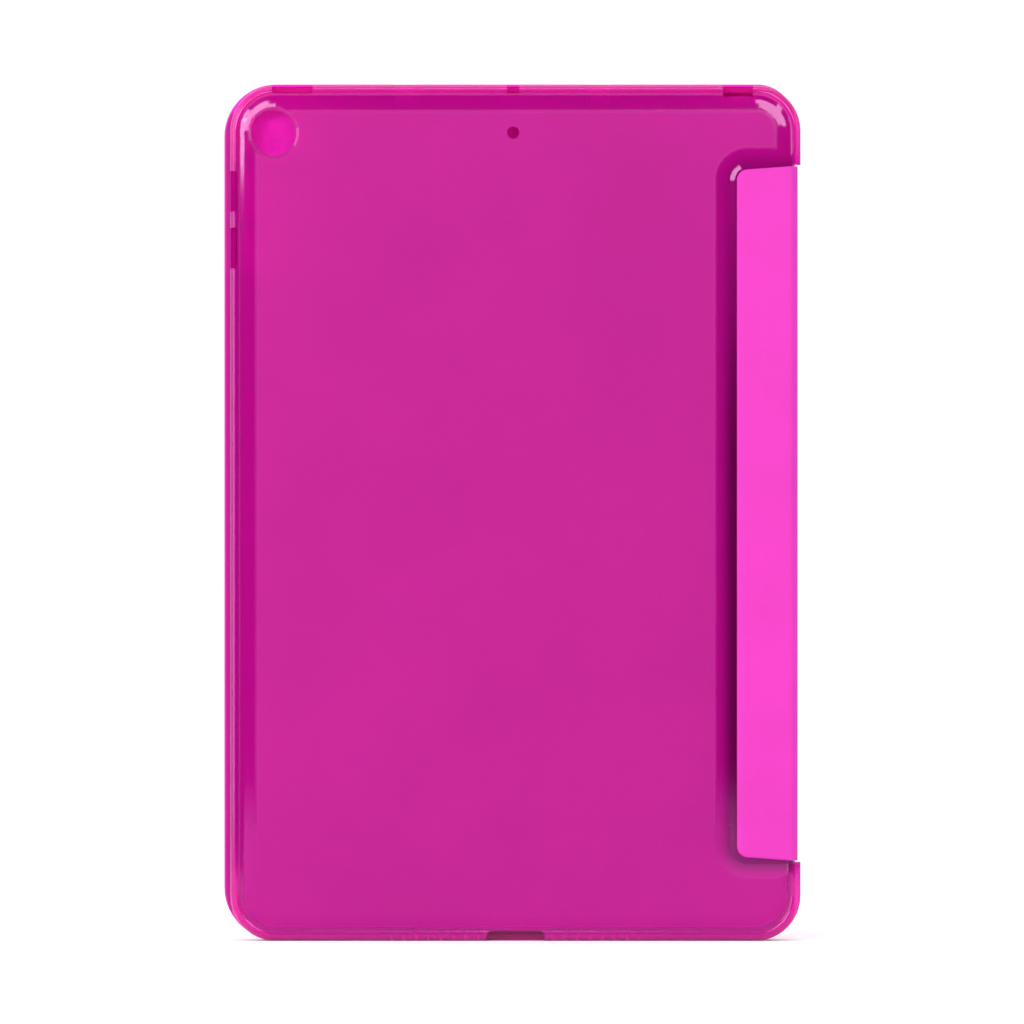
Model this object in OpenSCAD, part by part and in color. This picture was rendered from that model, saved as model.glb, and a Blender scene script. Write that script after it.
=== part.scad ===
// Folio case for a small tablet: a clear hard shell that snaps round the tablet, and a folding
// cover that wraps round one long side and is glued to the shell's back.
// The model stands on its bottom edge: X to the right seen from the back, Z up, and the
// shell's back faces -Y. Each sub-part is drawn lying flat with z = 0 at the cover's outer
// face, and upright() stands it up.

/* [Tablet] */
// Width of the tablet that the shell holds
tablet_w = 134.8; // [134.4:0.1:135.2]
// Height of the tablet
tablet_h = 203.2; // [202.8:0.1:203.6]
// Thickness of the tablet
tablet_t = 6.1; // [5.9:0.1:6.4]
// Room left round the tablet, in all, across each direction
tablet_play = 0.2; // [0.1:0.05:0.3]

/* [Shell] */
// Wall of the shell along its long sides
side_wall = 1.3; // [1.2:0.05:1.5]
// Wall of the shell along its top and bottom
end_wall = 1.5; // [1.3:0.05:1.8]
// Thickness of the shell's back
back_t = 1.2; // [1.1:0.05:1.5]
// Thickness of the lip that holds the tablet in
lip_t = 0.9; // [0.7:0.05:1.2]
// How far the lip reaches over the tablet
lip_reach = 0.6; // [0.4:0.05:0.8]
// Radius of the shell's corners
corner_r = 10.9; // [9:0.1:12]
// Radius of the rounded bead along the shell's back edge
bead_r = 1.5; // [1.2:0.05:1.8]
// How far the bead's crown lies below the shell's flat back
bead_drop = 0.1; // [0:0.05:0.15]
// Depth of the valley between the bead and the back
valley_drop = 0.4; // [0.3:0.05:0.45]
// Width of the gentle slope from the valley up to the flat back
slope_w = 3.9; // [3:0.1:4.5]
// Radius along the shell's front edge
front_edge_r = 0.8; // [0.5:0.05:0.9]

/* [Cover] */
// Thickness of the imitation leather skin
skin_t = 0.5; // [0.4:0.05:0.6]
// Thickness of the board inside each cover panel
board_t = 1.2; // [1:0.05:1.3]
// Thickness of the soft lining
lining_t = 0.5; // [0.4:0.05:0.5]
// Gap between the closed cover and the shell
cover_gap = 0.4; // [0.4:0.05:0.8]
// How far the cover shows past the shell at its free edge
cover_past_side = 1.7; // [0.6:0.1:2]
// How far the cover shows past the shell at the top
cover_past_top = 0.6; // [0.3:0.1:1]
// Radius of the cover's corners at its free edge
cover_free_r = 12.6; // [8:0.1:14]
// Radius of the cover's corners beside the spine
cover_spine_r = 9; // [5:0.5:10]
// Width of a cover panel from one crease to the next
panel_pitch = 47.1; // [46.6:0.1:47.3]

/* [Flap] */
// Width of the flap that is glued on the shell's back, with its rounded edge
flap_w = 14.7; // [12:0.1:18]
// Height of the flap and of the spine
flap_h = 167.5; // [150:0.5:172]
// Distance from the bottom of the case to the flap
flap_y = 19.4; // [17:0.1:26]
// How much shorter each end of the flap is at its glued edge
flap_taper = 0.7; // [0:0.1:1.5]
// Radius of the flap's corners
flap_r = 2.7; // [1.5:0.1:4]
// Depth of the pad that the flap is glued on, below the shell's back
recess_depth = 0.5; // [0.3:0.05:0.5]
// Depth of the shallow groove round the pad
groove_depth = 0.7; // [0.6:0.05:0.75]
// Reach of the groove past the flap, with its sloping outer side
recess_band = 5.2; // [4.5:0.1:6]

/* [Openings] */
// Radius of the camera window
camera_r = 5.5; // [4.5:0.1:6]
// Distance from the camera window's centre to the left side and to the top of the shell
camera_inset = 10.4; // [9.5:0.1:12]
// Radius of the microphone hole
mic_r = 1.5; // [1:0.1:2]
// Width of the power button's notch
power_w = 9.9; // [8:0.1:12]
// Length of each volume button's notch
volume_w = 9.8; // [8:0.1:11]
// Bar of wall between the two volume notches
volume_bar = 3.9; // [3:0.1:5]
// Width of the headphone socket's notch
jack_w = 7.3; // [6:0.1:8]
// Width of the charging port's notch
port_w = 14; // [11:0.1:16]
// Holes in each row under the speakers
speaker_holes = 8; // [4:1:9]
// Radius of a speaker hole
speaker_r = 0.55; // [0.4:0.05:0.7]

/* [Hidden] */
$fn = 96;
past = 5;  // how far a cut runs past the material it opens

// Shell, seen from the back
shell_w = tablet_w + tablet_play + 2 * side_wall;
shell_h = tablet_h + tablet_play + 2 * end_wall;
case_w = shell_w + cover_past_side;
shell_x1 = case_w / 2;
shell_x0 = shell_x1 - shell_w;
shell_mid_x = (shell_x0 + shell_x1) / 2;
bay_x0 = shell_x0 + side_wall;
bay_x1 = shell_x1 - side_wall;
bay_y0 = end_wall;
bay_y1 = shell_h - end_wall;
bay_r = corner_r - side_wall;

// Slope beside the bead, as a chain of points up to the flat back
valley_in = bead_r + sqrt(bead_r * bead_r - pow(bead_r + bead_drop - valley_drop, 2));
slope_r = (slope_w * slope_w + valley_drop * valley_drop) / (2 * valley_drop);
slope_turn = asin(slope_w / slope_r);
slope_steps = 4;
function slope_point(half, side, turn) = [
    side * (half - valley_in - slope_w + slope_r * sin(turn)),
    shell_t - slope_r * (1 - cos(turn))
];
function back_slope(half, side) = [
    for (k = [0 : slope_steps])
        slope_point(half, side, slope_turn * (side > 0 ? 1 - k / slope_steps : k / slope_steps))
];

// Levels through the thickness, from the cover's outer face to the flap
board_z = skin_t;
lining_z = board_z + board_t;
cover_t = lining_z + lining_t;
shell_z = cover_t + cover_gap;
bay_z = shell_z + lip_t;
floor_z = bay_z + tablet_t + tablet_play / 2;
back_z = floor_z + back_t;
shell_t = back_z - shell_z;
recess_z = back_z - recess_depth;
groove_z = back_z - groove_depth;
adhesive_t = 0.1;
flap_board_z = recess_z + adhesive_t;
flap_board_t = 0.4;
flap_skin_z = flap_board_z + flap_board_t;
case_t = flap_skin_z + skin_t;

// Spine: a strip in the open side of the shell, with a flexible web at each long edge
web_t = 0.6;
spine_skin_t = 0.35;
spine_x = bay_x1;
spine_outer_x = spine_x + web_t;
web_front_r = 1.2;
web_back_r = 1.9;
spine_z0 = 1.7;
spine_z1 = case_t - 2.4;
slot_gap = 0.35;
slot_x = spine_x - 0.65;
flap_x0 = spine_outer_x - flap_w;
flap_rigid_x = spine_outer_x - 2.05;
flap_y1 = flap_y + flap_h;

// Cover
cover_h = shell_h + cover_past_top;
cover_hinge_x = spine_x + 0.05;
cover_free_x = -case_w / 2;
panel_1_x1 = cover_hinge_x;
crease_1_x = cover_hinge_x - panel_pitch - 0.2;
crease_2_x = crease_1_x - panel_pitch;
crease_web_w = 4.4;
crease_web_t = 0.9;
rim_w = 1.4;          // turned edge of the skin round the boards
rim_clear = 2.6;      // turned edge stops this far from a crease, to let it fold
board_clear = 2.5;    // board stops this far from a crease
lining_clear = 3.4;   // lining stops this far from a crease
lining_inset = 0.6;   // skin that shows round the lining
hinge_skin_x = cover_hinge_x - 1;
hinge_board_x = hinge_skin_x - 1.2;
carrier_w = 9;

// Openings in the shell
notch_z = bay_z + 0.9;
notch_r = 0.8;
camera_x = shell_x0 + camera_inset;
camera_y = shell_h - 11.4;
camera_bevel = 0.8;
camera_bevel_depth = 0.6;
power_x = shell_x0 + 10;
power_depth = 1.9;
jack_x = shell_x1 - 18.8;
jack_depth = 2.9;
volume_top_y = shell_h - 20.6;
volume_depth = 1.6;
port_x = shell_mid_x;
port_depth = 2.4;
port_r = 1.2;
mic_x = shell_mid_x - 0.55;
mic_notch_w = 3;
mic_notch_depth = 1.9;
speaker_x0 = 9;
speaker_pitch = 3;
speaker_z = back_z - 2.6;

// Magnets
magnet_l = 16;
magnet_w = 4;
magnet_t = 0.8;
magnet_z = board_z + 0.2;
magnet_x = cover_free_x + 6.5;
magnet_ys = [36, 72, 134, 170];
sleep_magnet_r = 3;
sleep_magnet_y = 103;
plate_w = 7;
plate_h = 150;
plate_t = 0.5;
plate_x = 57;

// Stands a flat drawing on its bottom edge, with the back towards -Y
module upright() {
    rotate([90, 0, 0]) translate([0, 0, -case_t / 2]) children();
}

module slab(z, t) {
    translate([0, 0, z]) linear_extrude(height = t) children();
}

// Rectangle with one corner radius on its left and another on its right; 0 is square
module rounded_rect(x0, x1, y0, y1, left_r, right_r) {
    translate([x0 + left_r, y0]) square([x1 - right_r - x0 - left_r, y1 - y0]);
    if (left_r > 0) {
        translate([x0, y0 + left_r]) square([left_r, y1 - y0 - 2 * left_r]);
        for (y = [y0 + left_r, y1 - left_r]) translate([x0 + left_r, y]) circle(r = left_r);
    }
    if (right_r > 0) {
        translate([x1 - right_r, y0 + right_r]) square([right_r, y1 - y0 - 2 * right_r]);
        for (y = [y0 + right_r, y1 - right_r]) translate([x1 - right_r, y]) circle(r = right_r);
    }
}

// Section through the whole shell, of a given length: rounded front edges, then a bead, a
// valley and a gentle slope on the way to the flat back
module shell_section(length) {
    half = length / 2;
    bead_z = shell_t - bead_drop - bead_r;
    translate([-half + front_edge_r, 0]) square([length - 2 * front_edge_r, bead_z]);
    translate([-half, front_edge_r]) square([length, bead_z - front_edge_r]);
    translate([-half + bead_r, bead_z])
        square([length - 2 * bead_r, shell_t - valley_drop - bead_z]);
    for (side = [-1, 1]) {
        translate([side * (half - front_edge_r), front_edge_r]) circle(r = front_edge_r);
        translate([side * (half - bead_r), bead_z]) circle(r = bead_r);
    }
    polygon(concat(back_slope(half, 1), back_slope(half, -1),
                   [[valley_in - half, bead_z], [half - valley_in, bead_z]]));
}

// Solid block with the shell's outer shape
module shell_block() {
    translate([shell_mid_x, shell_h - corner_r, shell_z]) rotate([90, 0, 0])
        linear_extrude(height = shell_h - 2 * corner_r) shell_section(shell_w);
    translate([shell_x0 + corner_r, shell_h / 2, shell_z]) rotate([90, 0, 90])
        linear_extrude(height = shell_w - 2 * corner_r) shell_section(shell_h);
    for (right = [0, 1]) for (top = [0, 1])
        translate([right ? shell_x1 - corner_r : shell_x0 + corner_r,
                   top ? shell_h - corner_r : corner_r, shell_z]) intersection() {
            rotate_extrude() shell_half_section();
            translate([right ? 0 : -20, top ? 0 : -20, -1]) cube([20, 20, shell_t + 2]);
        }
}

// Right half of the section through a round corner
module shell_half_section() {
    intersection() {
        shell_section(2 * corner_r);
        translate([0, -1]) square([corner_r + 1, shell_t + 2]);
    }
}

module tablet_bay() {
    slab(bay_z, floor_z - bay_z)
        rounded_rect(bay_x0, bay_x1, bay_y0, bay_y1, bay_r, bay_r);
    slab(shell_z - past, lip_t + past + 0.1)
        rounded_rect(bay_x0 + lip_reach, bay_x1 - lip_reach, bay_y0 + lip_reach,
                     bay_y1 - lip_reach, bay_r - lip_reach, bay_r - lip_reach);
}

// Cut for a button or a socket, open to the side and to the back
module notch(x0, x1, y0, y1, r) {
    slab(notch_z, back_z + past - notch_z) rounded_rect(x0, x1, y0, y1, r, r);
}

module button_notches() {
    notch(power_x, power_x + power_w, shell_h - power_depth, shell_h + past, notch_r);
    notch(jack_x, jack_x + jack_w, shell_h - jack_depth, shell_h + past, notch_r);
    notch(port_x - port_w / 2, port_x + port_w / 2, -past, port_depth, port_r);
    notch(mic_x - mic_notch_w / 2, mic_x + mic_notch_w / 2, shell_h - mic_notch_depth,
          shell_h + past, 0);
    for (k = [0, 1]) {
        y1 = volume_top_y - k * (volume_w + volume_bar);
        notch(shell_x0 - past, shell_x0 + volume_depth, y1 - volume_w, y1, notch_r);
    }
}

module camera_window() {
    translate([camera_x, camera_y, floor_z - 1]) cylinder(h = back_t + past, r = camera_r);
    translate([camera_x, camera_y, back_z - camera_bevel_depth])
        cylinder(h = camera_bevel_depth + 0.01, r1 = camera_r, r2 = camera_r + camera_bevel);
}

module mic_hole() {
    translate([mic_x, camera_y, floor_z - 1]) cylinder(h = back_t + past, r = mic_r);
}

module speaker_rows() {
    for (side = [-1, 1]) for (k = [0 : speaker_holes - 1])
        translate([shell_mid_x + side * (speaker_x0 + k * speaker_pitch), end_wall + 1, speaker_z])
            rotate([90, 0, 0]) cylinder(h = end_wall + past, r = speaker_r, $fn = 24);
}

// Side view of the recess past the flap's edge: the pad, a small step down to the groove and
// the groove's long sloping side. x counts outwards from inside the flap's edge.
module recess_profile(inside) {
    polygon([[0, recess_z], [inside + 0.5, recess_z], [inside + 1.6, groove_z],
             [inside + recess_band, back_z], [inside + recess_band, back_z + past],
             [0, back_z + past]]);
}

module flap_recess() {
    x0 = flap_x0 + flap_r;
    y0 = flap_y + flap_taper + flap_r;
    across = shell_x1 + past - x0;
    along = flap_h - 2 * (flap_taper + flap_r);
    translate([x0, y0, recess_z]) cube([across, along, past]);
    translate([x0, y0, 0]) rotate([90, 0, 180])
        linear_extrude(height = along) recess_profile(flap_r);
    for (top = [0, 1]) translate([x0, y0 + top * along, 0]) {
        translate([top ? 0 : across, 0, 0]) rotate([90, 0, top ? 90 : -90])
            linear_extrude(height = across) recess_profile(flap_r);
        intersection() {
            rotate_extrude() recess_profile(flap_r);
            translate([-20, top ? 0 : -20, groove_z - 1]) cube([20, 20, 2 * past]);
        }
    }
}

// Open side of the shell, where the spine runs
module spine_slot() {
    slab(shell_z - past, shell_t + 2 * past)
        rounded_rect(slot_x, shell_x1 + past, flap_y - slot_gap, flap_y1 + slot_gap, 0, 0);
}

module back_shell() {
    color([0.74, 0.09, 0.56, 0.9]) upright() difference() {
        shell_block();
        tablet_bay();
        camera_window();
        mic_hole();
        button_notches();
        speaker_rows();
        flap_recess();
        spine_slot();
    }
}

// Flap on the shell's back, a little shorter at its glued edge than at the spine
module flap_outline(inset) {
    x0 = flap_x0 + inset;
    x1 = flap_rigid_x - (inset > 0 ? 0.6 : 0);
    r = max(flap_r - inset, 0.5);
    y0 = flap_y + inset;
    y1 = flap_y1 - inset;
    rounded_rect(x0, x1, y0 + flap_taper, y1 - flap_taper, r, 0);
    polygon([[x0 + r, y0 + flap_taper], [x1, y0], [x1, y1], [x0 + r, y1 - flap_taper]]);
}

module flap_skin() {
    color([0.97, 0.26, 0.79]) upright() difference() {
        slab(flap_board_z, case_t - flap_board_z) flap_outline(0);
        slab(flap_board_z - 1, flap_board_t + 1) flap_outline(rim_w);
    }
}

module flap_board() {
    color([0.62, 0.58, 0.52]) upright() slab(flap_board_z, flap_board_t) flap_outline(rim_w);
}

module flap_adhesive() {
    color([0.9, 0.9, 0.85]) upright() slab(recess_z, adhesive_t) flap_outline(0.4);
}

// Web seen end on: a straight run, a quarter bend of outer radius r, and a second straight run
module web_section(run, r, rise) {
    translate([-run, -r]) square([run, web_t]);
    intersection() {
        difference() {
            circle(r = r);
            circle(r = r - web_t);
        }
        translate([0, -2 * r]) square([2 * r, 2 * r]);
    }
    translate([r - web_t, 0]) square([web_t, rise]);
}

module hinge_web_front() {
    bend_x = spine_outer_x - web_front_r;
    color([0.97, 0.26, 0.79]) upright() translate([bend_x, flap_y1, web_front_r])
        rotate([90, 0, 0]) linear_extrude(height = flap_h)
            web_section(bend_x - hinge_skin_x, web_front_r, spine_z0 - web_front_r);
}

module hinge_web_back() {
    bend_x = spine_outer_x - web_back_r;
    bend_z = case_t - web_back_r;
    color([0.97, 0.26, 0.79]) upright() translate([bend_x, flap_y1, bend_z])
        rotate([90, 0, 0]) linear_extrude(height = flap_h) mirror([0, 1])
            web_section(bend_x - flap_rigid_x, web_back_r, bend_z - spine_z1);
}

module spine_strip(x, t) {
    slab(spine_z0, spine_z1 - spine_z0) translate([x, flap_y]) square([t, flap_h]);
}

module spine_skin() {
    color([0.97, 0.26, 0.79]) upright() spine_strip(spine_outer_x - spine_skin_t, spine_skin_t);
}

module spine_lining() {
    color([0.81, 0.08, 0.61]) upright() spine_strip(spine_x, web_t - spine_skin_t);
}

// Outline of the whole cover, drawn in from its edge by inset
module cover_outline(inset) {
    rounded_rect(cover_free_x + inset, panel_1_x1 - inset, inset, cover_h - inset,
                 cover_free_r - inset, cover_spine_r - inset);
}

// Strip of the flat drawing between two heights and two x values
module strip(x0, x1, y0, y1) {
    translate([x0, y0]) square([x1 - x0, y1 - y0]);
}

module band(x0, x1) {
    strip(x0, x1, -past, cover_h + past);
}

// Where panel 1 makes room for the web and the spine between its two ears
module spine_room(x) {
    strip(x, panel_1_x1 + past, flap_y - slot_gap, flap_y1 + slot_gap);
}

// Panel limits, counted from the spine: [[left x, crease there], [right x, crease there]]
function panel_left(n) = n == 1 ? crease_1_x : n == 2 ? crease_2_x : cover_free_x - past;
function panel_right(n) = n == 1 ? panel_1_x1 + past : n == 2 ? crease_1_x : crease_2_x;

// Cover outline drawn in by inset and kept to one panel, this far clear of its creases
module panel_outline(n, inset, clear, spine_x_limit) {
    difference() {
        intersection() {
            cover_outline(inset);
            band(panel_left(n) + (n < 3 ? clear : 0), panel_right(n) - (n > 1 ? clear : 0));
        }
        if (n == 1) spine_room(spine_x_limit);
    }
}

// Skin: a thin sheet with its edge turned up round the board
module cover_skin(n) {
    color([0.97, 0.26, 0.79]) upright() {
        slab(0, skin_t) panel_outline(n, 0, crease_web_w / 2, hinge_skin_x);
        slab(board_z, board_t) difference() {
            panel_outline(n, 0, rim_clear, hinge_skin_x);
            panel_outline(n, rim_w, 0, hinge_board_x);
        }
    }
}

module board_outline(n) {
    panel_outline(n, rim_w, board_clear, hinge_board_x);
}

module carrier_outline() {
    intersection() {
        board_outline(3);
        band(cover_free_x, cover_free_x + rim_w + carrier_w);
    }
}

module cover_board(n) {
    color([0.62, 0.58, 0.52]) upright() difference() {
        slab(board_z, board_t) difference() {
            board_outline(n);
            if (n == 3) band(cover_free_x - past, cover_free_x + rim_w + carrier_w);
        }
        if (n == 1) plate_pocket();
    }
}

module cover_lining(n) {
    color([0.81, 0.08, 0.61]) upright()
        slab(lining_z, lining_t) panel_outline(n, lining_inset, lining_clear, hinge_board_x);
}

module fold_web(x) {
    color([0.97, 0.26, 0.79]) upright()
        slab(0, crease_web_t) strip(x - crease_web_w / 2, x + crease_web_w / 2, 0, cover_h);
}

module edge_magnet_bars() {
    slab(magnet_z, magnet_t) for (y = magnet_ys)
        strip(magnet_x - magnet_w / 2, magnet_x + magnet_w / 2, y - magnet_l / 2, y + magnet_l / 2);
}

module sleep_disc() {
    translate([magnet_x, sleep_magnet_y, magnet_z]) cylinder(h = magnet_t, r = sleep_magnet_r);
}

module magnet_carrier() {
    color([0.25, 0.25, 0.27]) upright() difference() {
        slab(board_z, board_t) carrier_outline();
        edge_magnet_bars();
        sleep_disc();
    }
}

module edge_magnets() {
    color([0.7, 0.71, 0.73]) upright() edge_magnet_bars();
}

module sleep_magnet() {
    color([0.7, 0.71, 0.73]) upright() sleep_disc();
}

// Steel strip that the magnets in the free edge catch when the cover is folded as a stand
module plate_block(t) {
    slab(lining_z - plate_t, t)
        strip(plate_x, plate_x + plate_w, (cover_h - plate_h) / 2, (cover_h + plate_h) / 2);
}

module plate_pocket() {
    plate_block(plate_t + 1);
}

module stand_plate() {
    color([0.6, 0.6, 0.62]) upright() plate_block(plate_t);
}

back_shell();
flap_skin();
flap_board();
flap_adhesive();
hinge_web_back();
spine_skin();
spine_lining();
hinge_web_front();
cover_skin(1);  // cover_skin_1
cover_skin(2);  // cover_skin_2
cover_skin(3);  // cover_skin_3
cover_board(1);  // cover_board_1
cover_board(2);  // cover_board_2
cover_board(3);  // cover_board_3
cover_lining(1);  // cover_lining_1
cover_lining(2);  // cover_lining_2
cover_lining(3);  // cover_lining_3
fold_web(crease_1_x);  // fold_web_1
fold_web(crease_2_x);  // fold_web_2
magnet_carrier();
edge_magnets();
sleep_magnet();
stand_plate();
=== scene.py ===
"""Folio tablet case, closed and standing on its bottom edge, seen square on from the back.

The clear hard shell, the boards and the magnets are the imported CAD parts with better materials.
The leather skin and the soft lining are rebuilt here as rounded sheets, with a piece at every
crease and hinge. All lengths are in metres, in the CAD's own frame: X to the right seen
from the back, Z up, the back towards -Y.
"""
import math

import bmesh
import bpy
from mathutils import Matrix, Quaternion, Vector


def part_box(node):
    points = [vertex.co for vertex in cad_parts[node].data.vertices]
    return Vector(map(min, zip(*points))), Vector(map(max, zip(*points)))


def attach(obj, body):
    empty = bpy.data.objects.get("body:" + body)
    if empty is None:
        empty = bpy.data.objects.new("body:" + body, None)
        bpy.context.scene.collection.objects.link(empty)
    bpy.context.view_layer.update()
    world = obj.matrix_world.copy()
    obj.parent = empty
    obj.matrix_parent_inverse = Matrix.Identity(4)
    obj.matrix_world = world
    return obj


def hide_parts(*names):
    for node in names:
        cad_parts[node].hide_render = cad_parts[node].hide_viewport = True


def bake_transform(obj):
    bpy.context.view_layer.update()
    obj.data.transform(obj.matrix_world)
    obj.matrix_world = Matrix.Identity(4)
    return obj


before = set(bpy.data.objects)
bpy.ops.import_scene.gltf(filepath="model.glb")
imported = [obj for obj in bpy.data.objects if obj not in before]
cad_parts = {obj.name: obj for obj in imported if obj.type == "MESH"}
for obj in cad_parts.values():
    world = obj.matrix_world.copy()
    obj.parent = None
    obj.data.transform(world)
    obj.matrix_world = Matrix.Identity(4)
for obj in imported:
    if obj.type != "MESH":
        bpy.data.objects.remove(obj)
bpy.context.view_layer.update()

MM = 0.001

# ---------------------------------------------------------------- places taken from the frame

shell_lo, shell_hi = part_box("back_shell")
flap_lo, flap_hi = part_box("flap_skin")
spine_lo, spine_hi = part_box("spine_skin")
spine_lining_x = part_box("spine_lining")[0].x
web_front_lo, web_front_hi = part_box("hinge_web_front")
web_back_lo, web_back_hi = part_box("hinge_web_back")
cover_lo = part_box("cover_skin_3")[0]
cover_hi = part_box("cover_skin_1")[1]
panel_1_web_x = web_front_lo.x              # panel 1's skin ends here beside the spine
lining_1_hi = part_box("cover_lining_1")[1]
crease_x = [sum((b.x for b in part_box(f"fold_web_{n}")), 0.0) / 2 for n in (1, 2)]
half_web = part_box("fold_web_1")[1].x - crease_x[0]

MIDDLE = (0.0, 0.0, cover_hi.z / 2)         # the middle of the view
FACE_Y = cover_hi.y                         # the cover's outer face
BACK_Y = flap_lo.y                          # the flap's outer face


def up_from_cover(z):
    """Y of a level z above the cover's outer face, counted towards the shell's back."""
    return FACE_Y - z


SKIN_T = 0.5 * MM                           # T stands for thickness, R for radius, W for width
BOARD_TOP = 1.7 * MM                        # the boards' inner face, above the cover's outer face
COVER_T = 2.2 * MM
RIM_W = 1.35 * MM                           # the skin's turned edge
RIM_CLEAR = 2.6 * MM                        # from a crease's middle to that edge
LINING_INSET = 0.3 * MM
LINING_CLEAR = 3.4 * MM                     # from a crease's middle to the lining
COVER_FREE_R = 12.6 * MM                    # corner radii seen from the front
COVER_SPINE_R = 9 * MM
FLAP_R = 2.7 * MM
FLAP_TAPER = 0.7 * MM                       # how much shorter its glued edge is, at each end
WEB_SKIN_T = 0.35 * MM
WEB_T = 0.6 * MM
WEB_FRONT_R = 1.2 * MM
WEB_BACK_R = 1.9 * MM
CORNER_STEPS = 14                           # straight pieces in a quarter turn

# ---------------------------------------------------------------- node helpers


class Nodes:
    """Short calls for building one material's node tree."""

    def __init__(self, name):
        self.material = bpy.data.materials.new(name)
        self.material.use_nodes = True
        self.tree = self.material.node_tree
        self.tree.nodes.clear()
        self.output = self.tree.nodes.new("ShaderNodeOutputMaterial")
        self.position = self.add("ShaderNodeTexCoord").outputs["Object"]

    def add(self, kind, **settings):
        node = self.tree.nodes.new(kind)
        for key, value in settings.items():
            setattr(node, key, value)
        return node

    def link(self, source, socket):
        self.tree.links.new(source, socket)

    def put(self, socket, value):
        if isinstance(value, bpy.types.NodeSocket):
            self.link(value, socket)
        else:
            socket.default_value = value

    def math(self, operation, *values, clamp=False):
        node = self.add("ShaderNodeMath", operation=operation, use_clamp=clamp)
        for socket, value in zip(node.inputs, values):
            self.put(socket, value)
        return node.outputs[0]

    def linear(self, share, start, end):
        """Goes evenly from start to end as share goes from 0 to 1."""
        return self.math("MULTIPLY_ADD", share, end - start, start)

    def ramp(self, value, low, high, out_low=0.0, out_high=1.0):
        """Goes smoothly from out_low to out_high as value goes from low to high."""
        node = self.add("ShaderNodeMapRange", interpolation_type="SMOOTHSTEP")
        inputs = (value, low, high, out_low, out_high)
        for socket, each in zip(node.inputs, inputs):
            self.put(socket, each)
        return node.outputs[0]

    def axes(self):
        """The position's X, Y and Z, by name."""
        split = self.add("ShaderNodeSeparateXYZ")
        self.link(self.position, split.inputs[0])
        return split.outputs

    def counted_in(self, size, stretch=(1, 1, 1)):
        """The position counted in lengths of size, or of size times stretch along each axis."""
        mapping = self.add("ShaderNodeMapping")
        self.link(self.position, mapping.inputs["Vector"])
        mapping.inputs["Scale"].default_value = tuple(1 / (size * s) for s in stretch)
        return mapping.outputs[0]

    def noise(self, size, detail=3.0, roughness=0.55, stretch=(1, 1, 1), distortion=0.0):
        """Noise whose features are about size metres across."""
        place = self.counted_in(size, stretch)
        node = self.add("ShaderNodeTexNoise")
        self.link(place, node.inputs["Vector"])
        node.inputs["Scale"].default_value = 1.0
        node.inputs["Detail"].default_value = detail
        node.inputs["Roughness"].default_value = roughness
        node.inputs["Distortion"].default_value = distortion
        return node.outputs["Fac"]

    def cells(self, size):
        """Distance to the middle of the nearest cell, in cells about size metres across."""
        place = self.counted_in(size)
        node = self.add("ShaderNodeTexVoronoi", feature="F1")
        self.link(place, node.inputs["Vector"])
        node.inputs["Scale"].default_value = 1.0
        return node.outputs["Distance"]

    def mix(self, factor, first, second):
        """Mixes two colours, which sit in the node's last two inputs."""
        node = self.add("ShaderNodeMix", data_type="RGBA")
        self.put(node.inputs["Factor"], factor)
        self.put(node.inputs[6], first)
        self.put(node.inputs[7], second)
        return node.outputs[2]

    def bump(self, height, depth, strength=1.0, normal=None):
        node = self.add("ShaderNodeBump")
        node.inputs["Distance"].default_value = depth
        node.inputs["Strength"].default_value = strength
        self.link(height, node.inputs["Height"])
        if normal is not None:
            self.link(normal, node.inputs["Normal"])
        return node.outputs[0]

    def surface(self, **inputs):
        """Principled surface; names are the socket names with _ for a space."""
        node = self.add("ShaderNodeBsdfPrincipled")
        for key, value in inputs.items():
            self.put(node.inputs[key.replace("_", " ")], value)
        self.link(node.outputs[0], self.output.inputs["Surface"])
        return self.material


def colour(red, green, blue):
    return (red, green, blue, 1.0)


# ---------------------------------------------------------------- materials

FREE_EDGE_SHADE = (1.7 * MM, 2.6 * MM)            # painted shade: the lining darkens between these, in from the edge


def make_skin():
    """Hot pink imitation leather: matte, with a very fine pebble grain."""
    n = Nodes("pink_leather")
    grain = n.cells(0.42 * MM)
    pores = n.noise(0.16 * MM, detail=4)
    broad = n.noise(24 * MM, detail=2)
    base = n.mix(n.ramp(broad, 0.3, 0.7), colour(0.55, 0.015, 0.350), colour(0.59, 0.018, 0.375))
    base = n.mix(n.ramp(grain, 0.1, 0.75, 0.10, 0.0), base, colour(0.48, 0.012, 0.28))
    rough = n.math("ADD", n.ramp(pores, 0.3, 0.7, 0.50, 0.60), n.ramp(broad, 0.3, 0.7, 0.0, 0.04))
    normal = n.bump(grain, 0.035 * MM, 0.35)
    normal = n.bump(pores, 0.02 * MM, 0.3, normal)
    return n.surface(Base_Color=base, Roughness=rough, Normal=normal, Specular_IOR_Level=0.35)


def make_lining():
    """Brushed microfibre in a deeper magenta: matte, with a soft nap and a faint sheen."""
    n = Nodes("microfibre")
    nap = n.noise(0.5 * MM, detail=5, stretch=(1, 1, 3.5), distortion=0.6)
    cloud = n.noise(15 * MM, detail=3)
    base = n.mix(n.ramp(cloud, 0.3, 0.7), colour(0.82, 0.013, 0.52), colour(0.91, 0.019, 0.59))
    base = n.mix(n.ramp(nap, 0.35, 0.65, 0.25, 0.0), base, colour(0.64, 0.006, 0.40))
    x = n.axes()["X"]
    # Painted shade: the lining darkens near the cover's free edge, where the shell shades it.
    free_edge_shade = n.ramp(x, cover_lo.x + FREE_EDGE_SHADE[0], cover_lo.x + FREE_EDGE_SHADE[1], 1.0, 0.0)
    base = n.mix(free_edge_shade, base, colour(0.42, 0.010, 0.22))
    normal = n.bump(nap, 0.08 * MM, 0.6)
    return n.surface(
        Base_Color=base, Roughness=n.ramp(nap, 0.3, 0.7, 0.82, 0.95), Normal=normal,
        Sheen_Weight=0.15, Sheen_Roughness=0.4, Sheen_Tint=colour(1.0, 0.25, 0.65),
        Specular_IOR_Level=0.15)


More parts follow.
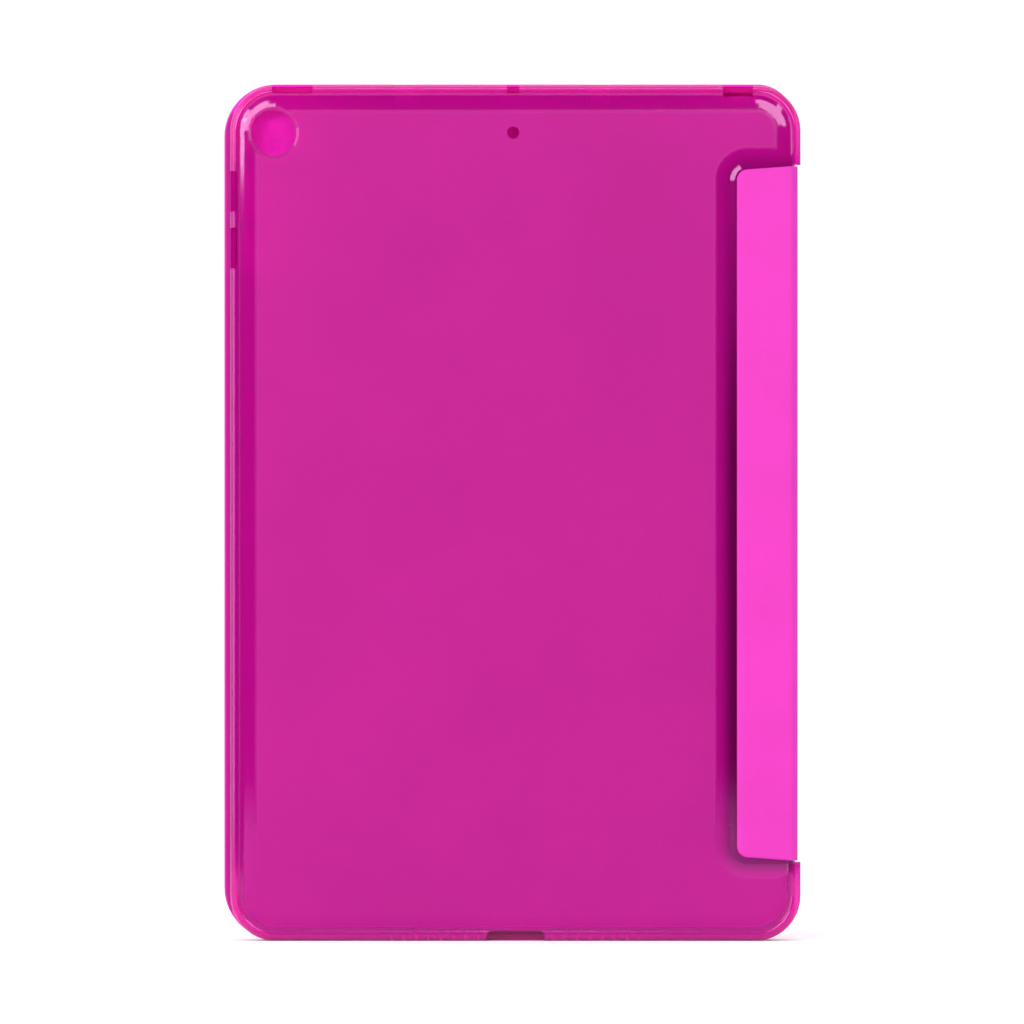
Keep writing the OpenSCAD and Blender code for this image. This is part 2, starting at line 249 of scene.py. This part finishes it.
def rounded_box_distance(n, centre, half, radius):
    """Signed distance in the back's plane to a rounded rectangle, in metres."""
    axes = n.axes()
    out = []
    for socket, c, h in ((axes["X"], centre[0], half[0]), (axes["Z"], centre[1], half[1])):
        away = n.math("ABSOLUTE", n.math("SUBTRACT", socket, c))
        out.append(n.math("SUBTRACT", away, h - radius))
    outside = [n.math("MAXIMUM", d, 0.0) for d in out]
    squares = [n.math("MULTIPLY", d, d) for d in outside]
    reach = n.math("SQRT", n.math("ADD", *squares))
    inner = n.math("MINIMUM", n.math("MAXIMUM", *out), 0.0)
    return n.math("SUBTRACT", n.math("ADD", reach, inner), radius)


BORDER_W = 6.3 * MM                         # the clear border round the frosted panel
FROST_X = (shell_lo.x + BORDER_W, shell_hi.x - BORDER_W)
FROST_Z = (BORDER_W, shell_hi.z - BORDER_W)
FROST_R = 4.7 * MM
RECESS_BAND = 5.2 * MM                      # the groove round the flap
RECESS_R = 7.9 * MM

# Each pair says where a zone starts to fade and where the fade ends. Lengths out from an outline
# are negative inside it.
BACK_DEPTH = (0.05 * MM, 0.12 * MM)         # below the back's surface, where the frosting ends
FROST_FADE = (-0.9 * MM, 1.2 * MM)          # out from the frosted panel's outline, where it ends
WIDE_FADE = (2.5 * MM, 3.5 * MM)            # the same near the bottom, where the frosting is wider
WIDE_HEIGHT = (12 * MM, 50 * MM)            # heights between which it narrows
GROOVE_SHADE_FADE = (-4.6 * MM, -0.6 * MM)        # out from the recess's outline, where the painted shade ends
SHADE_FROM = 0.6                            # share of the flap's top where the painted shade starts to fade
SHADE_LEFT = 0.35                           # share of the painted shade that is left at the flap's top
RIM_LIGHT_FROM = (BORDER_W - 2.4 * MM, BORDER_W - 1.4 * MM)    # out from the panel, where the painted highlight on the rim comes in
RIM_LIGHT_TOP = (0.86, 0.97)                      # shares of the height where the painted highlight on the rim's top comes in
RIM_LIGHT_BOTTOM = (0.03, 0.14)                   # and where the painted highlight on its bottom fades out


def middle(a, b):
    return (a + b) / 2


def back_zones(n):
    """Masks on the shell: its frosted back, the painted shade round the flap and the painted highlight
    on the rim.
    """
    axes = n.axes()
    height = axes["Z"]
    centre = (middle(*FROST_X), middle(*FROST_Z))
    half = ((FROST_X[1] - FROST_X[0]) / 2, (FROST_Z[1] - FROST_Z[0]) / 2)
    panel = rounded_box_distance(n, centre, half, FROST_R)
    recess_x0 = flap_lo.x - RECESS_BAND
    recess_x1 = shell_hi.x + 3 * RECESS_R   # well past the shell, so only its left corners show
    recess_z = (flap_lo.z + FLAP_TAPER - RECESS_BAND, flap_hi.z - FLAP_TAPER + RECESS_BAND)
    recess = rounded_box_distance(
        n, (middle(recess_x0, recess_x1), middle(*recess_z)),
        ((recess_x1 - recess_x0) / 2, (recess_z[1] - recess_z[0]) / 2), RECESS_R)
    distance = n.math("MAXIMUM", panel, n.math("MULTIPLY", recess, -1.0))
    surface = [shell_lo.y + depth for depth in BACK_DEPTH]
    on_back = n.ramp(axes["Y"], *surface, 1.0, 0.0)
    frost = n.math("MULTIPLY", n.ramp(distance, *FROST_FADE, 1.0, 0.0), on_back)
    wide = n.ramp(panel, *WIDE_FADE, 1.0, 0.0)
    wide = n.math("MULTIPLY", wide, n.ramp(height, *WIDE_HEIGHT, 1.0, 0.0))
    frost = n.math("MAXIMUM", frost, wide)
    # Painted shade beside the flap, fading towards the flap's top.
    flap_shade = n.ramp(recess, *GROOVE_SHADE_FADE, 1.0, 0.0)
    shade = n.ramp(height, SHADE_FROM * flap_hi.z, flap_hi.z, 1.0, SHADE_LEFT)
    # Painted highlight on the rim, near the shell's top and bottom.
    outer = n.ramp(panel, *RIM_LIGHT_FROM)
    top, bottom = ([share * shell_hi.z for share in ends] for ends in (RIM_LIGHT_TOP, RIM_LIGHT_BOTTOM))
    at_ends = n.math("MAXIMUM", n.ramp(height, *top), n.ramp(height, *bottom, 1.0, 0.0))
    rim = n.math("MULTIPLY", outer, at_ends)
    return frost, n.math("MULTIPLY", flap_shade, shade), rim


def make_shell():
    """Magenta polycarbonate: clear and glossy at its border, frosted in the middle of its back."""
    n = Nodes("clear_magenta")
    frost, groove, rim = back_zones(n)
    speckle = n.noise(0.22 * MM, detail=4)
    cloud = n.noise(40 * MM, detail=2)
    scuff = n.noise(6 * MM, detail=6, stretch=(1, 1, 4))
    # Painted shade: the clear border darkens beside the flap.
    clear = n.mix(groove, colour(0.66, 0.005, 0.40), colour(0.21, 0.001, 0.12))
    frosted = n.mix(n.ramp(cloud, 0.3, 0.7), colour(0.58, 0.002, 0.33), colour(0.62, 0.003, 0.35))
    frosted = n.mix(n.ramp(speckle, 0.35, 0.65, 0.10, 0.0), frosted, colour(0.72, 0.01, 0.44))
    # Painted shade: the frosted back darkens beside the flap too.
    frosted = n.mix(n.math("MULTIPLY", groove, 0.9), frosted, colour(0.27, 0.006, 0.18))
    base = n.mix(frost, clear, frosted)
    # Painted highlight: the rim is lightened near the top and bottom.
    base = n.mix(rim, base, colour(0.92, 0.022, 0.50))
    rough = n.linear(frost, 0.04, 0.42)
    rough = n.math("ADD", rough, n.ramp(scuff, 0.55, 0.8, 0.0, 0.05))
    through = n.linear(frost, 0.70, 0.55)
    shine = n.linear(frost, 0.5, 0.05)
    normal = n.bump(n.math("MULTIPLY", speckle, frost), 0.02 * MM, 0.35)
    return n.surface(Base_Color=base, Roughness=rough, Transmission_Weight=through,
                     Specular_IOR_Level=shine, Specular_Tint=colour(1.0, 0.64, 1.0),
                     Normal=normal, IOR=1.45)


def make_card():
    n = Nodes("grey_card")
    fibre = n.noise(0.5 * MM, detail=6, stretch=(1, 1, 4))
    base = n.mix(n.ramp(fibre, 0.3, 0.7), colour(0.33, 0.29, 0.24), colour(0.45, 0.41, 0.35))
    return n.surface(Base_Color=base, Roughness=n.ramp(fibre, 0.3, 0.7, 0.8, 0.95),
                     Normal=n.bump(fibre, 0.05 * MM, 0.5))


def make_adhesive():
    n = Nodes("adhesive_film")
    flow = n.noise(3 * MM, detail=3)
    base = n.mix(flow, colour(0.74, 0.70, 0.60), colour(0.82, 0.80, 0.72))
    return n.surface(Base_Color=base, Roughness=n.ramp(flow, 0.3, 0.7, 0.25, 0.4),
                     Normal=n.bump(flow, 0.02 * MM, 0.4))


def make_carrier():
    n = Nodes("carrier_plastic")
    grain = n.noise(0.3 * MM, detail=3)
    base = n.mix(grain, colour(0.035, 0.035, 0.04), colour(0.06, 0.06, 0.066))
    return n.surface(Base_Color=base, Roughness=n.ramp(grain, 0.3, 0.7, 0.45, 0.6),
                     Normal=n.bump(grain, 0.02 * MM, 0.4))


def make_metal(name, low, high, rough_low, rough_high):
    n = Nodes(name)
    brushed = n.noise(0.25 * MM, detail=5, stretch=(1, 1, 12))
    base = n.mix(n.ramp(brushed, 0.3, 0.7), low, high)
    return n.surface(Base_Color=base, Metallic=1.0,
                     Roughness=n.ramp(brushed, 0.3, 0.7, rough_low, rough_high),
                     Normal=n.bump(brushed, 0.01 * MM, 0.4))


def make_stage_surface(name, low, high):
    n = Nodes(name)
    tooth = n.noise(2 * MM, detail=3)
    base = n.mix(tooth, colour(low, low, low), colour(high, high, high))
    return n.surface(Base_Color=base, Roughness=0.9, Specular_IOR_Level=0.1)


SKIN = make_skin()
LINING = make_lining()
SHELL = make_shell()
CARD = make_card()
ADHESIVE = make_adhesive()
CARRIER = make_carrier()
NICKEL = make_metal("nickel_plate", colour(0.58, 0.57, 0.54), colour(0.70, 0.69, 0.66), 0.18, 0.3)
STEEL = make_metal("rolled_steel", colour(0.42, 0.42, 0.43), colour(0.55, 0.55, 0.56), 0.28, 0.45)
PAPER = make_stage_surface("stage_paper", 0.97, 0.98)
FLAG = make_stage_surface("flag_cloth", 0.012, 0.018)

# ---------------------------------------------------------------- mesh helpers


def finish_piece(name, points, faces, material, body=None, sharp=35):
    """Makes a smooth-shaded piece with crisp edges where it turns by more than sharp degrees."""
    mesh = bpy.data.meshes.new(name)
    mesh.from_pydata(points, [], faces)
    mesh.validate()
    mesh.polygons.foreach_set("use_smooth", [True] * len(mesh.polygons))
    mesh.set_sharp_from_angle(angle=math.radians(sharp))
    mesh.materials.append(material)
    piece = bpy.data.objects.new(name, mesh)
    bpy.context.scene.collection.objects.link(piece)
    if body:
        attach(piece, body)
    return piece


def arc(centre, radius, start, end, steps=CORNER_STEPS):
    """Points along an arc, angles in degrees."""
    turns = (math.radians(start + (end - start) * k / steps) for k in range(steps + 1))
    return [(centre[0] + radius * math.cos(t), centre[1] + radius * math.sin(t)) for t in turns]


def corner(x, z, radius, start):
    """Points round one corner at (x, z), or just that point where the corner is square."""
    if radius <= 0:
        return [(x, z)]
    across, up = {180: (1, 1), 270: (-1, 1), 0: (-1, -1), 90: (1, -1)}[start]
    return arc((x + across * radius, z + up * radius), radius, start, start + 90)


def slab(name, rings, material, body):
    """Closed solid through rings, each (outline of (x, z) points, y). Its two ends are flat."""
    count = len(rings[0][0])
    points = [(x, y, z) for outline, y in rings for x, z in outline]
    faces = [list(range(count))[::-1]]
    for k in range(len(rings) - 1):
        for i in range(count):
            j = (i + 1) % count
            faces.append([k * count + i, k * count + j, (k + 1) * count + j, (k + 1) * count + i])
    last = (len(rings) - 1) * count
    faces.append([last + i for i in range(count)])
    return facing_out(finish_piece(name, points, faces, material, body))


def strip(name, columns, z0, z1, rings, place, material):
    """Closed solid that can bend: columns across it, rings of (inset at its ends, depth)."""
    wide = len(columns)
    loop = 2 * wide
    points, faces = [], []
    for inset, depth in rings:
        for z, order in ((z0 + inset, columns), (z1 - inset, columns[::-1])):
            points += [(*place(u, depth), z) for u in order]
    for k in range(len(rings) - 1):
        for i in range(loop):
            j = (i + 1) % loop
            faces.append([k * loop + i, k * loop + j, (k + 1) * loop + j, (k + 1) * loop + i])
    for start, flip in ((0, True), ((len(rings) - 1) * loop, False)):
        for i in range(wide - 1):
            quad = [start + i, start + i + 1, start + loop - 2 - i, start + loop - 1 - i]
            faces.append(quad[::-1] if flip else quad)
    return facing_out(finish_piece(name, points, faces, material))


def facing_out(piece):
    """Turns the faces of a closed piece outwards."""
    work = bmesh.new()
    work.from_mesh(piece.data)
    bmesh.ops.recalc_face_normals(work, faces=work.faces)
    work.to_mesh(piece.data)
    work.free()
    return piece


def rounded_edge(radius, steps=5):
    """(inset, depth) pairs from the face to the side of an edge of that radius."""
    turns = (math.pi / 2 * k / steps for k in range(steps + 1))
    return [(radius * (1 - math.sin(t)), radius * (1 - math.cos(t))) for t in turns]


def even_steps(start, end, steps):
    return [start + (end - start) * k / steps for k in range(steps + 1)]


# ---------------------------------------------------------------- cover panels

BODIES = ["panel_1", "panel_2", "panel_3"]
NOTCH_GAP = 0.35 * MM                       # between the cover's notch and the spine's webs
HAIR = 0.02 * MM                            # keeps two edges or faces apart
WALL_SLACK = 0.05 * MM                      # between a board and the tray's inner wall
BOARD_1_GAP = 1.2 * MM                      # from panel 1's board to the web beside it
CREASE_STEPS = 20


def panel_outline(number, inset, crease_gap, notch_x):
    """Outline of a cover panel, drawn in by inset at its free edges."""
    z0, z1 = cover_lo.z + inset, cover_hi.z - inset
    left_r = max(COVER_FREE_R - inset, 0.0)
    right_r = max(COVER_SPINE_R - inset, 0.0)
    x0 = cover_lo.x + inset if number == 3 else crease_x[number - 1] + crease_gap
    x1 = cover_hi.x - inset if number == 1 else crease_x[number - 2] - crease_gap
    outline = corner(x0, z0, left_r if number == 3 else 0, 180)
    outline += corner(x1, z0, right_r if number == 1 else 0, 270)
    if number == 1:
        low, high = web_front_lo.z - NOTCH_GAP, web_front_hi.z + NOTCH_GAP
        notch = min(notch_x, x1 - HAIR)
        outline += [(x1, low), (notch, low), (notch, high), (x1, high)]
    outline += corner(x1, z1, right_r if number == 1 else 0, 0)
    outline += corner(x0, z1, left_r if number == 3 else 0, 90)
    return outline


def make_cover_skin(number):
    """Outer skin of one panel: a tray whose rounded edge turns up round the board."""
    edge = 0.65 * MM
    lip = 0.3 * MM
    wall_x = panel_1_web_x - BOARD_1_GAP + WALL_SLACK
    rings = [(i, d, RIM_CLEAR if d > SKIN_T else half_web, panel_1_web_x)
             for i, d in rounded_edge(edge)]
    rings += [(i, BOARD_TOP - d, RIM_CLEAR, panel_1_web_x) for i, d in rounded_edge(lip)[::-1]]
    rings += [(RIM_W, BOARD_TOP, RIM_CLEAR, wall_x),
              (RIM_W, SKIN_T, RIM_CLEAR - WALL_SLACK, wall_x)]
    layers = [(panel_outline(number, i, gap, x), up_from_cover(d)) for i, d, gap, x in rings]
    piece = slab(f"cover_outer_{number}", layers, SKIN, BODIES[number - 1])
    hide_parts(f"cover_skin_{number}")
    return piece


def make_cover_lining(number):
    """Lining of one panel, inside the skin's turned edge."""
    edge = 0.35 * MM
    rings = [(LINING_INSET + i, COVER_T - d) for i, d in rounded_edge(edge)]
    rings += [(LINING_INSET, BOARD_TOP + HAIR)]
    layers = [(panel_outline(number, i, LINING_CLEAR, lining_1_hi.x), up_from_cover(z))
              for i, z in rings]
    piece = slab(f"cover_inner_{number}", layers, LINING, BODIES[number - 1])
    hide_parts(f"cover_lining_{number}")
    return piece


def make_crease_skin(number):
    """Outer skin across a crease: a shallow pressed groove."""
    centre = crease_x[number - 1]
    dip = 0.22 * MM

    def place(u, depth):
        pressed = dip * math.cos(math.pi / 2 * u / half_web) ** 2
        return centre + u, up_from_cover(max(depth, pressed) if depth < SKIN_T else depth)

    rings = rounded_edge(SKIN_T) + [(0.0, SKIN_T)]
    columns = even_steps(-half_web, half_web, CREASE_STEPS)
    piece = strip(f"crease_outer_{number}", columns, cover_lo.z, cover_hi.z, rings, place, SKIN)
    blend_crease(piece)
    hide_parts(f"fold_web_{number}")
    return piece


# Lining across half a crease, in mm: distance out and level of its face, then of its back
CREASE_PROFILE = [
    (3.4, 2.20, 3.4, 1.72), (3.15, 2.175, 3.0, 1.72), (2.9, 2.07, 2.75, 1.72),
    (2.7, 1.91, 2.6, 1.72), (2.54, 1.74, 2.49, 1.71), (2.4, 1.5, 2.47, 1.45),
    (2.3, 1.22, 2.46, 1.05), (2.16, 1.02, 2.4, 0.62), (1.9, 0.92, 2.1, 0.52),
    (1.55, 0.89, 1.6, 0.52), (1.1, 0.88, 1.1, 0.52), (0.6, 0.87, 0.6, 0.52), (0.2, 0.87, 0.2, 0.52),
]


def make_crease_lining(number):
    """Lining down one panel's board edge, over the crease and up the next board's edge."""
    centre = crease_x[number - 1]
    half = [tuple(value * MM for value in row) for row in CREASE_PROFILE]
    profile = half + [(-a, b, -c, d) for a, b, c, d in half[::-1]]

    def place(index, share):
        out, level, back_out, back_level = profile[index]
        x = out + (back_out - out) * share
        return centre + x, up_from_cover(level + (back_level - level) * share)

    rounding = ((0.3 * MM, 0.0), (0.08 * MM, 0.25), (0.0, 0.6), (0.0, 1.0))
    rings = [(LINING_INSET + inset, share) for inset, share in rounding]
    piece = strip(f"crease_inner_{number}", list(range(len(profile))), cover_lo.z, cover_hi.z,
                  rings, place, LINING)
    blend_crease(piece)
    return piece


def blend_crease(piece):
    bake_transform(piece)


# ---------------------------------------------------------------- flap, spine and their bends

def flap_outline(inset):
    """The flap's outline drawn in by inset, a little shorter at its glued edge."""
    x0, x1 = flap_lo.x + inset, flap_hi.x
    z0, z1 = flap_lo.z + inset, flap_hi.z - inset
    radius = FLAP_R - inset
    return (corner(x0, z0 + FLAP_TAPER, radius, 180) + [(x1, z0), (x1, z1)]
            + corner(x0, z1 - FLAP_TAPER, radius, 90))


EDGE_R = 0.5 * MM
WEB_STEPS = 28
WEB_EDGE = 0.8                              # share of a web's thickness that its edge rounds over


def make_flap():
    """Flap on the shell's back: skin over a thin card, with soft edges."""
    thick = flap_hi.y - flap_lo.y
    rings = rounded_edge(EDGE_R) + [(0.0, thick)]
    layers = [(flap_outline(i), BACK_Y + d) for i, d in rings]
    layers += [(flap_outline(RIM_W), BACK_Y + thick), (flap_outline(RIM_W), BACK_Y + SKIN_T)]
    piece = slab("flap_cover", layers, SKIN, "shell")
    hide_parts("flap_skin")
    return piece


def bend_path(start_x, radius, face_y, towards, rise):
    """Path of a web: across, round a quarter bend and along the spine. (path length, place)."""
    run = spine_hi.x - radius - start_x
    quarter = math.pi / 2 * radius
    bend_x = spine_hi.x - radius

    def place(u, depth):
        if u <= run:
            return start_x + u, face_y + towards * depth
        turn = min((u - run) / radius, math.pi / 2)
        along = max(u - run - quarter, 0.0)
        reach = radius - depth
        return (bend_x + reach * math.sin(turn),
                face_y + towards * (radius - reach * math.cos(turn) + along))

    return run + quarter + rise, place


def make_web(name, start_x, radius, face_y, towards, rise, depths, material):
    """One sheet of a web, between two depths below its face.
    """
    length, place = bend_path(start_x, radius, face_y, towards, rise)
    near, far = depths
    rings = [(i, near + d * WEB_EDGE) for i, d in rounded_edge(far - near)] + [(0.0, far)]
    columns = even_steps(0.0, length, WEB_STEPS)
    piece = strip(name, columns, web_back_lo.z, web_back_hi.z, rings, place, material)
    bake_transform(piece)
    return piece


def make_hinge_webs():
    """Skin and lining round both long edges of the spine."""
    back_rise = spine_lo.y - BACK_Y - WEB_BACK_R
    front_rise = FACE_Y - spine_hi.y - WEB_FRONT_R
    back = ("shell", "spine", (flap_hi.x, BACK_Y + WEB_T), (spine_lining_x, spine_lo.y))
    front = ("spine", "panel_1", (spine_lining_x, spine_hi.y), (panel_1_web_x, FACE_Y - WEB_T))
    parts = [
        ("hinge_back_outer", flap_hi.x, WEB_BACK_R, BACK_Y, 1, back_rise, (0, WEB_SKIN_T), SKIN, back),
        ("hinge_back_inner", flap_hi.x, WEB_BACK_R, BACK_Y, 1, back_rise, (WEB_SKIN_T, WEB_T),
         LINING, back),
        ("hinge_front_outer", panel_1_web_x, WEB_FRONT_R, FACE_Y, -1, front_rise, (0, WEB_SKIN_T),
         SKIN, front),
        ("hinge_front_inner", panel_1_web_x, WEB_FRONT_R, FACE_Y, -1, front_rise,
         (WEB_SKIN_T, WEB_T), LINING, front),
    ]
    pieces = []
    for name, start_x, radius, face_y, towards, rise, depths, material, blend in parts:
        piece = make_web(name, start_x, radius, face_y, towards, rise, depths, material)
        pieces.append(piece)
        if name.endswith("outer"):
            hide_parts("hinge_web_back" if "back" in name else "hinge_web_front")
    return pieces


def make_spine():
    """Outer skin of the spine, flush with the two bends."""
    z0, z1 = spine_lo.z, spine_hi.z
    y0, y1 = spine_lo.y, spine_hi.y
    points, faces = [], []
    levels = [(i, d * WEB_EDGE) for i, d in rounded_edge(WEB_SKIN_T)] + [(0.0, WEB_SKIN_T)]
    for inset, depth in levels:
        x = spine_hi.x - depth
        points += [(x, y0, z0 + inset), (x, y1, z0 + inset), (x, y1, z1 - inset), (x, y0, z1 - inset)]
    for k in range(len(levels) - 1):
        for i in range(4):
            j = (i + 1) % 4
            faces.append([4 * k + i, 4 * k + j, 4 * k + 4 + j, 4 * k + 4 + i])
    faces += [[0, 1, 2, 3], [4 * len(levels) - 4 + i for i in range(4)]]
    piece = facing_out(finish_piece("spine_outer", points, faces, SKIN, "spine"))
    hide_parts("spine_skin")
    return piece


# ---------------------------------------------------------------- the sheets' pieces, gathered by panel


def declare_sheets(pieces):
    """Gathers each panel's crease and hinge pieces, skin apart from lining, and does nothing more with
    them.
    """
    creases = {1: [], 2: [1, 2], 3: []}
    for number in (1, 2, 3):
        lining = [pieces[f"crease_inner_{n}"] for n in creases[number]]
        skin = [pieces[f"crease_outer_{n}"] for n in creases[number]]
        if number == 1:
            skin += [pieces["hinge_front_outer"]]
            lining += [pieces["hinge_front_inner"]]


# ---------------------------------------------------------------- CAD parts that stay

def dress(node, material):
    """Gives a carried-over CAD part its finish."""
    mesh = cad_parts[node].data
    mesh.materials.clear()
    mesh.materials.append(material)


def dress_frame():
    dress("back_shell", SHELL)
    dress("flap_board", CARD)
    dress("flap_adhesive", ADHESIVE)
    dress("spine_lining", LINING)
    for number in (1, 2, 3):
        dress(f"cover_board_{number}", CARD)
    dress("magnet_carrier", CARRIER)
    dress("edge_magnets", NICKEL)
    dress("sleep_magnet", NICKEL)
    dress("stand_plate", STEEL)


# ---------------------------------------------------------------- stage, light and camera

VIEW_WIDTH = 0.2478        # width of the view in the plane of the case's widest outline
OUTLINE_Y = 0.003          # that plane, behind the middle
CAMERA_AWAY = 2.6
SENSOR = 36.0              # in mm, as Blender counts it
ROOM_WHITE = 1.06          # just enough for a white background from every side


def make_stage():
    """White floor, and a dark flag behind the camera that the glossy border mirrors."""
    half, near, far = 4.0, -0.46, 5.0
    corners = [(-half, near, 0), (half, near, 0), (half, far, 0), (-half, far, 0)]
    finish_piece("stage_floor", corners, [(0, 1, 2, 3)], PAPER)
    left, right, back, low, high = -1.6, 2.2, -2.8, -1.0, 1.9
    corners = [(left, back, low), (right, back, low), (right, back, high), (left, back, high)]
    finish_piece("stage_flag", corners, [(0, 1, 2, 3)], FLAG)


def make_light(name, place, size, power, roll=0.0):
    """Area light that faces the middle of the view, turned by roll degrees about its own line."""
    data = bpy.data.lights.new(name, "AREA")
    data.shape = "RECTANGLE"
    data.size, data.size_y = size
    data.energy = power
    light = bpy.data.objects.new(name, data)
    light.location = place
    facing = (Vector(MIDDLE) - Vector(place)).to_track_quat("-Z", "Y")
    light.rotation_euler = (facing @ Quaternion((0, 0, 1), math.radians(roll))).to_euler()
    bpy.context.scene.collection.objects.link(light)


def around(off_axis, turn, away):
    """A place away metres from the middle and off_axis degrees from the camera's line.

    It lies on the right for a turn of 0 degrees, and above the middle for 90.
    """
    off, round_axis = math.radians(off_axis), math.radians(turn)
    return (away * math.sin(off) * math.cos(round_axis), -away * math.cos(off),
            MIDDLE[2] + away * math.sin(off) * math.sin(round_axis))


def make_lights():
    """A white room, a softbox to the left, lights that the glossy border mirrors, and rim strips."""
    world = bpy.data.worlds.new("studio")
    world.use_nodes = True
    background = world.node_tree.nodes["Background"]
    background.inputs["Color"].default_value = (1, 1, 1, 1)
    background.inputs["Strength"].default_value = ROOM_WHITE
    bpy.context.scene.world = world
    make_light("left_softbox", around(62, 168, 1.25), (0.8, 1.1), 9.5)
    make_light("upper_left", around(19.3, 136, 2.3), (0.45, 0.75), 12.5, roll=120)
    make_light("left_strip", around(25.2, 156.3, 2.34), (0.10, 0.50), 2.2)
    make_light("upper_right", around(17.6, 49, 2.3), (0.60, 0.54), 10.5)
    make_light("top_strip", around(66, 92, 1.6), (1.3, 0.25), 5)
    make_light("right_strip", around(72, 8, 1.7), (0.2, 1.0), 1.5)


def make_camera():
    data = bpy.data.cameras.new("camera")
    data.sensor_width = SENSOR
    data.lens = SENSOR * (CAMERA_AWAY + OUTLINE_Y) / VIEW_WIDTH
    data.clip_end = 50
    camera = bpy.data.objects.new("camera", data)
    camera.location = (MIDDLE[0], -CAMERA_AWAY, MIDDLE[2])
    camera.rotation_euler = (math.pi / 2, 0, 0)
    bpy.context.scene.collection.objects.link(camera)
    bpy.context.scene.camera = camera


dress_frame()
made = [make_flap(), *make_hinge_webs(), make_spine()]
for panel in (1, 2, 3):
    made += [make_cover_skin(panel), make_cover_lining(panel)]
for crease in (1, 2):
    made += [make_crease_skin(crease), make_crease_lining(crease)]
declare_sheets({piece.name: piece for piece in made})
make_stage()
make_lights()
make_camera()
bpy.context.scene.view_settings.view_transform = "Standard"
